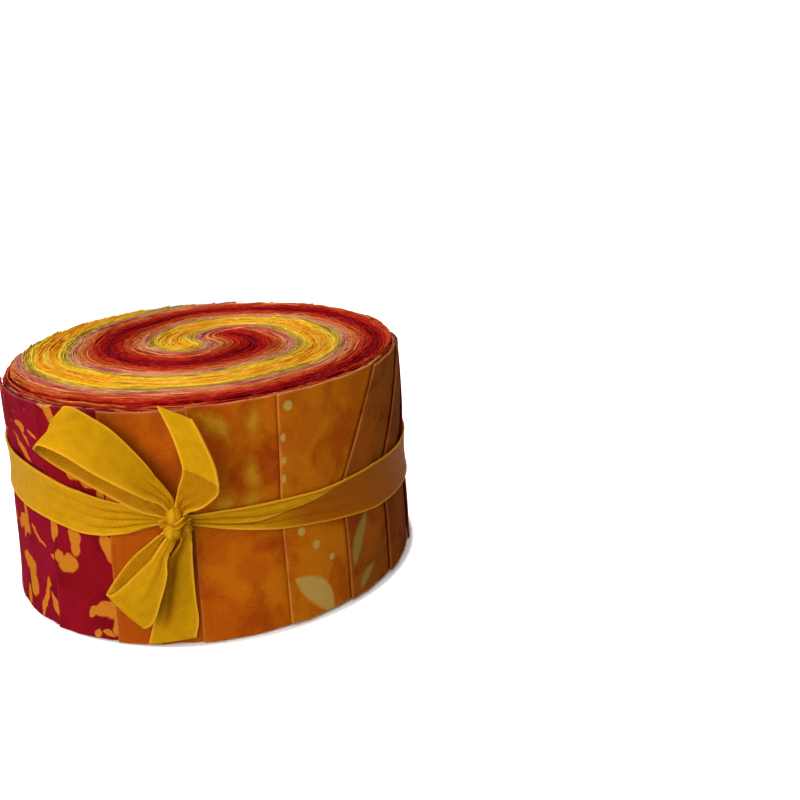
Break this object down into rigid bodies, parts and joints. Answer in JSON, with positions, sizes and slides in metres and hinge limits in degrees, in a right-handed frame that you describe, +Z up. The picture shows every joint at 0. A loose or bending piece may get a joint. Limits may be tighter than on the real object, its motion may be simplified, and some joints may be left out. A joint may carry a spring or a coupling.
{
  "type": "fabric strip roll",
  "caption": "Round roll of cotton quilting strips standing on its cut edges, wound in a spiral and tied round the middle with a ribbon in a bow.",
  "frame": {"origin": "middle of the flat base, which is the lower cut edges of the strips", "axes": "+Z up along the roll's own axis, -Y towards the side with the bow, +X to the right of the bow"},
  "size_m": [0.1167, 0.1258, 0.0661],
  "materials": {
    "batik_cotton": "matt plain-woven cotton, batik dyed in orange, crimson and yellow",
    "twill_ribbon": "gold twill-woven ribbon with a low sheen"
  },
  "bodies": {
    "root": {"strip_roll": "batik_cotton", "ribbon_band": "twill_ribbon", "bow_knot": "twill_ribbon", "bow_loop_upper": "twill_ribbon", "bow_loop_lower": "twill_ribbon", "ribbon_tail_upper": "twill_ribbon", "ribbon_tail_lower": "twill_ribbon"}
  },
  "joints": []
}
